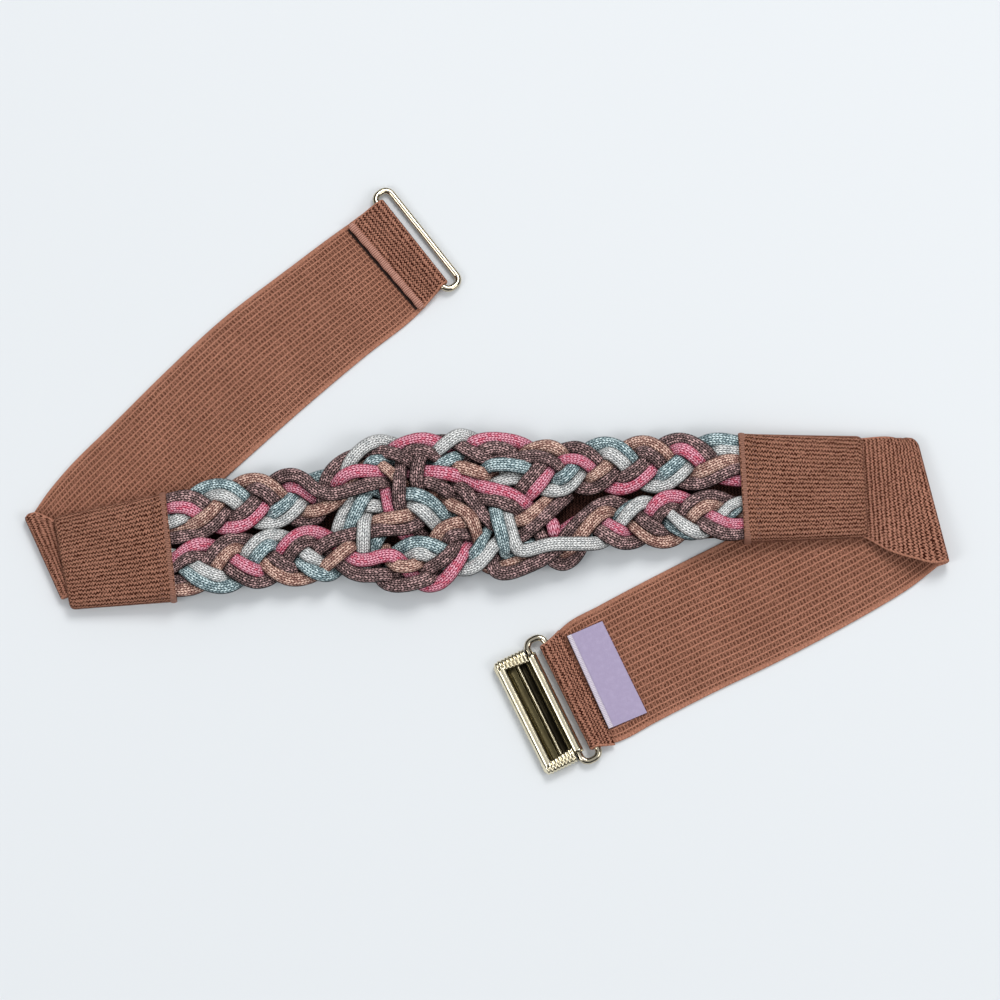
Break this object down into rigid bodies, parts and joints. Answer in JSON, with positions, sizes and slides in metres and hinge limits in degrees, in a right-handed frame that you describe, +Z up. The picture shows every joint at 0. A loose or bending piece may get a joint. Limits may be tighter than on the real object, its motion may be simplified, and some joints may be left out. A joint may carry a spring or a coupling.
{
  "type": "braided stretch belt",
  "caption": "Stretch belt with braided and knotted knit cords between ribbed cuffs, folded elastic straps, an oval end ring and a hinged metal clasp.",
  "frame": {"origin": "middle of the bounding box on the floor that the belt lies on", "axes": "+X along the braided front towards its right cuff, +Z up, +Y towards the end ring"},
  "size_m": [0.4208, 0.2716, 0.0188],
  "materials": {
    "strap_elastic": "ribbed brown knit",
    "cuff_elastic": "ribbed brown knit",
    "backing": "thin brown knit",
    "satin": "satin",
    "cord_dark": "flecked dark knit",
    "cord_pink": "pink knit",
    "cord_teal": "grey-blue knit",
    "cord_white": "silver-white knit",
    "cord_peach": "peach knit",
    "brass": "polished, a little antique"
  },
  "bodies": {
    "belt": {"left_elastic": "strap_elastic", "right_elastic": "strap_elastic", "backing_elastic": "backing", "left_cuff": "cuff_elastic", "right_cuff": "cuff_elastic", "label": "satin", "cord_upper_a_dark": "cord_dark", "cord_upper_a_pink": "cord_pink", "cord_lower_a_pink": "cord_pink", "cord_lower_a_dark": "cord_dark", "cord_upper_b_teal": "cord_teal", "cord_upper_b_white": "cord_white", "cord_lower_b_white": "cord_white", "cord_lower_b_teal": "cord_teal", "cord_upper_c_peach": "cord_peach", "cord_upper_c_dark": "cord_dark", "cord_lower_c_dark": "cord_dark", "cord_lower_c_peach": "cord_peach", "cord_tie_a_dark": "cord_dark", "cord_tie_a_pink": "cord_pink", "cord_tie_b_teal": "cord_teal", "cord_tie_b_white": "cord_white", "cord_tie_c_peach": "cord_peach", "cord_tie_c_dark": "cord_dark"},
    "end_ring": {"end_ring": "brass"},
    "clasp_ring": {"clasp_ring": "brass"},
    "clasp_plate": {"clasp_plate": "brass"}
  },
  "joints": [
    {"name": "end_ring_swing", "type": "hinge", "parent": "belt", "child": "end_ring", "pos_m": [-0.03578, 0.10921, 0.0033], "axis": [0.6141, -0.7892, 0], "range_deg": [0, 150]},
    {"name": "clasp_ring_swing", "type": "hinge", "parent": "belt", "child": "clasp_ring", "pos_m": [0.03773, -0.09868, 0.0033], "axis": [-0.4383, 0.8988, 0], "range_deg": [0, 95]},
    {"name": "clasp_plate_turn", "type": "hinge", "parent": "clasp_ring", "child": "clasp_plate", "pos_m": [0.03002, -0.10244, 0.00275], "axis": [-0.4383, 0.8988, 0], "range_deg": [0, 90]}
  ]
}
